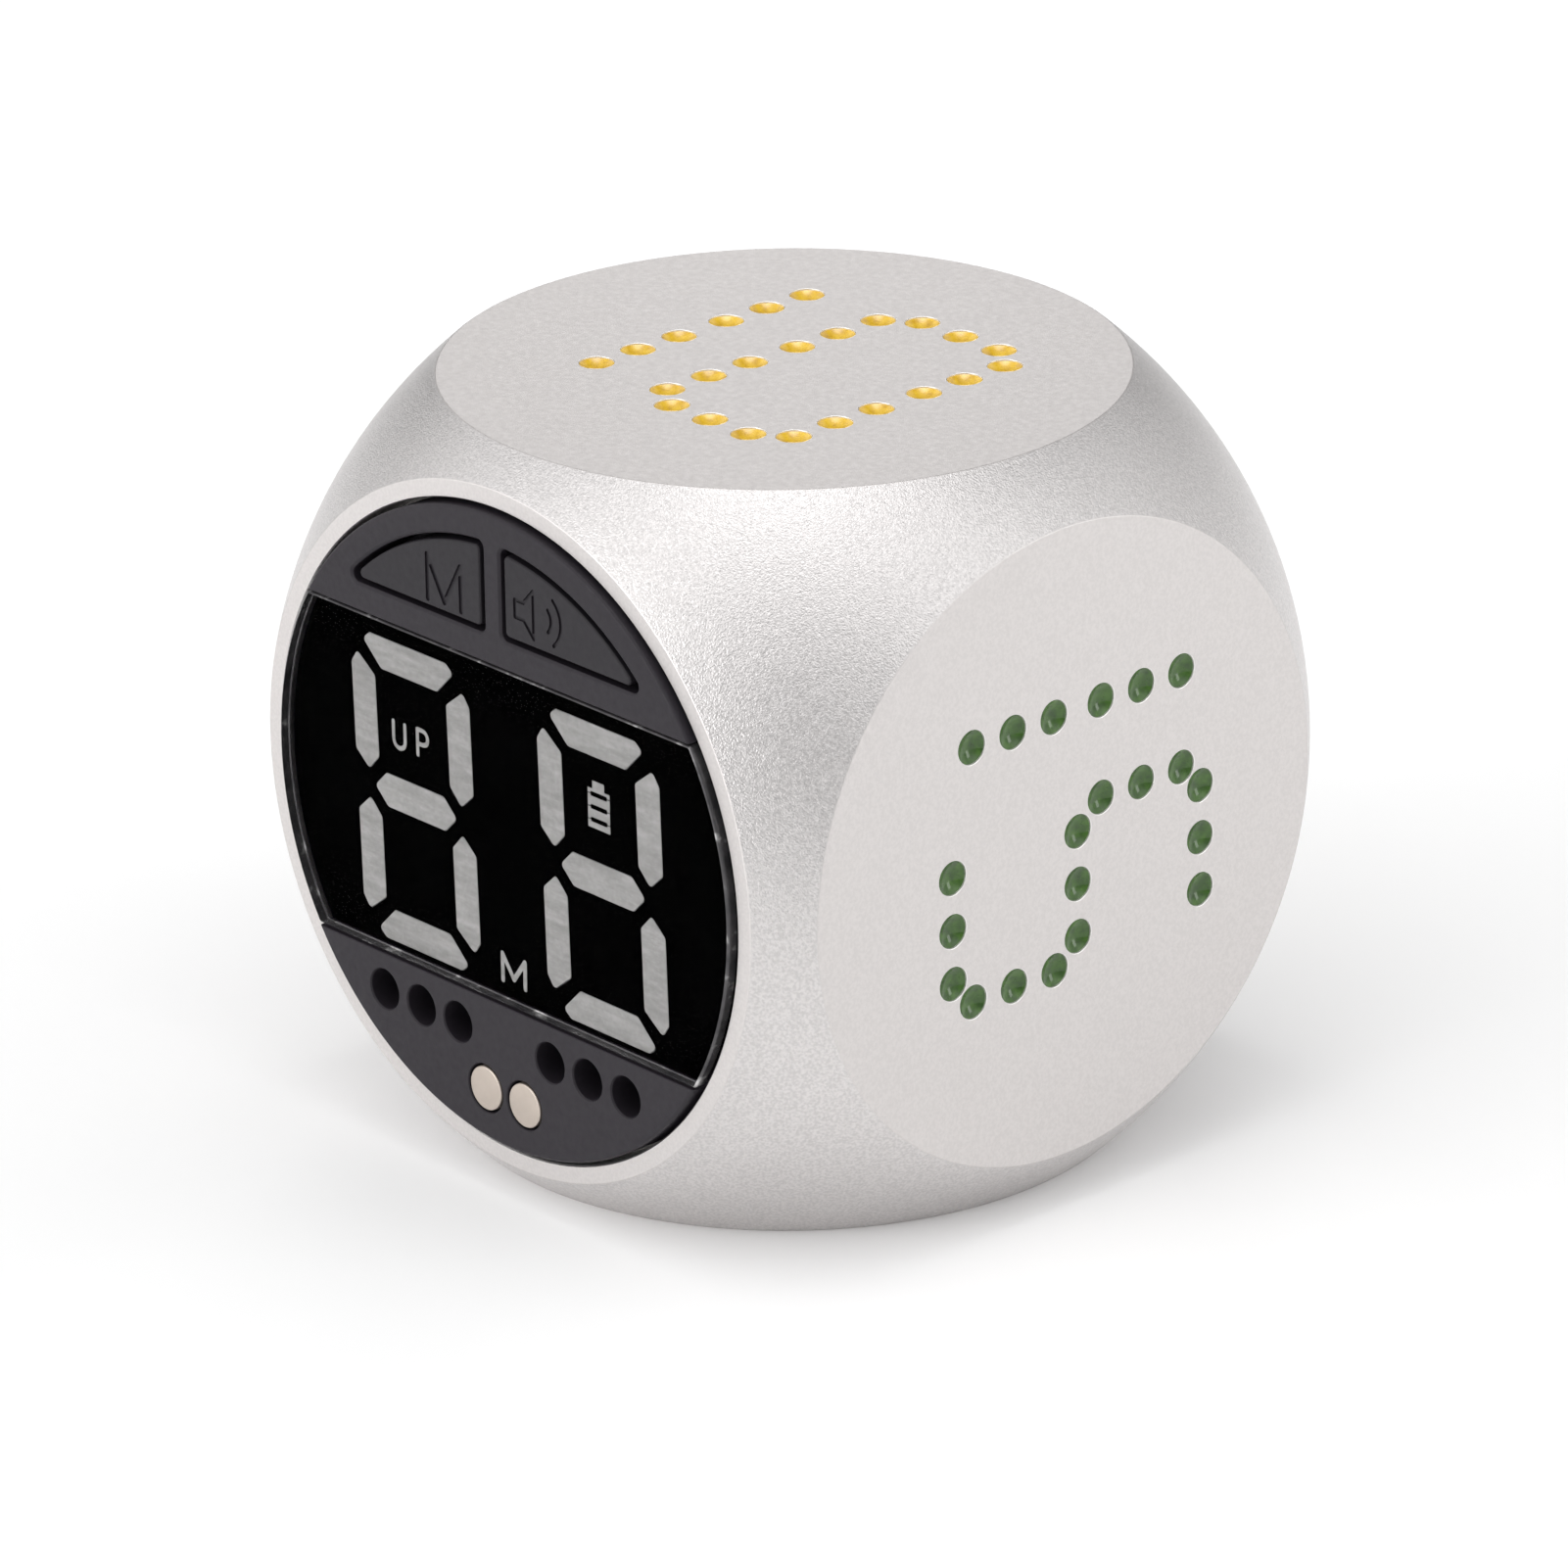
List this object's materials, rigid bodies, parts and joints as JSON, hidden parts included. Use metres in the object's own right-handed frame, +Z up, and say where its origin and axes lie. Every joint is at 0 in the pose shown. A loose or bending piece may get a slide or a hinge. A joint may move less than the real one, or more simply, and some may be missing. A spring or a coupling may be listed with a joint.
{
  "type": "cube timer",
  "caption": "Small metal cube timer with rounded corners, dotted numbers on its flat sides, and a round front panel with a two-digit display, keys, sound holes and charging contacts.",
  "frame": {"origin": "middle of the bottom flat that the timer stands on", "axes": "+Z up, the display faces -Y, +X is to the right of someone looking at the display"},
  "size_m": [0.034, 0.034, 0.033],
  "materials": {
    "shell_metal": "bead-blasted, silver anodised",
    "panel_plastic": "fine matte, dark grey",
    "key_plastic": "fine matte, dark grey",
    "lens_clear": "clear moulded acrylic, polished",
    "mask_black": "black printed film",
    "diffuser_grey": "milky grey light guide",
    "white_plastic": "moulded white plastic",
    "led_package": "clear over phosphor",
    "board_green": "solder mask over glass-epoxy",
    "chip_black": "moulded epoxy",
    "steel": "plated",
    "contact_plating": "pale plated, satin",
    "cell_foil": "foil pouch",
    "foam_black": "open foam",
    "dust_cloth": "woven dust cloth",
    "seal_rubber": "soft ring",
    "coil_copper": "wound enamelled wire",
    "wire_red": "insulated wire",
    "wire_black": "insulated wire"
  },
  "bodies": {
    "case": {"housing": "shell_metal", "front_panel": "panel_plastic", "display_lens": "lens_clear", "display_mask": "mask_black", "segment_diffuser": "diffuser_grey", "digit_reflector": "white_plastic", "battery_connector": "white_plastic", "battery_tray": "white_plastic", "led_left_a": "led_package", "led_left_b": "led_package", "led_left_c": "led_package", "led_left_d": "led_package", "led_left_e": "led_package", "led_left_f": "led_package", "led_left_g": "led_package", "led_right_a": "led_package", "led_right_b": "led_package", "led_right_c": "led_package", "led_right_d": "led_package", "led_right_e": "led_package", "led_right_f": "led_package", "led_right_g": "led_package", "main_board": "board_green", "battery_board": "board_green", "mode_switch_body": "chip_black", "sound_switch_body": "chip_black", "mcu_chip": "chip_black", "motion_sensor": "chip_black", "charge_chip": "chip_black", "buzzer_case": "chip_black", "board_screw_left": "steel", "board_screw_right": "steel", "tray_screw_upper": "steel", "tray_screw_lower": "steel", "magnet_left": "steel", "magnet_right": "steel", "crystal": "steel", "buzzer_diaphragm": "steel", "motor_can": "steel", "contact_left": "contact_plating", "contact_right": "contact_plating", "battery_cell": "cell_foil", "battery_pad": "foam_black", "sound_mesh": "dust_cloth", "panel_seal": "seal_rubber", "buzzer_coil": "coil_copper", "battery_lead_red": "wire_red", "battery_lead_black": "wire_black"},
    "mode_key_cap": {"mode_key": "key_plastic"},
    "sound_key_cap": {"sound_key": "key_plastic"},
    "mode_plunger": {"mode_switch_plunger": "white_plastic"},
    "sound_plunger": {"sound_switch_plunger": "white_plastic"},
    "motor_rotor": {"motor_shaft": "steel", "motor_weight": "steel"}
  },
  "joints": [
    {"name": "mode_key_press", "type": "slide", "parent": "case", "child": "mode_key_cap", "axis": [0, 1, 0], "range_m": [0, 0.00035], "stiffness_N_per_m": 700, "springref_m": -0.0012},
    {"name": "mode_plunger_press", "type": "slide", "parent": "case", "child": "mode_plunger", "axis": [0, 1, 0], "range_m": [0, 0.00025]},
    {"name": "sound_key_press", "type": "slide", "parent": "case", "child": "sound_key_cap", "axis": [0, 1, 0], "range_m": [0, 0.00035], "stiffness_N_per_m": 700, "springref_m": -0.0012},
    {"name": "sound_plunger_press", "type": "slide", "parent": "case", "child": "sound_plunger", "axis": [0, 1, 0], "range_m": [0, 0.00025]},
    {"name": "motor_spin", "type": "hinge", "parent": "case", "child": "motor_rotor", "pos_m": [0, -0.0074, 0.0245], "axis": [1, 0, 0], "continuous": true}
  ],
  "couplings": [
    {"joint": "mode_plunger_press", "follows": "mode_key_press", "ratio": 0.714},
    {"joint": "sound_plunger_press", "follows": "sound_key_press", "ratio": 0.714}
  ]
}
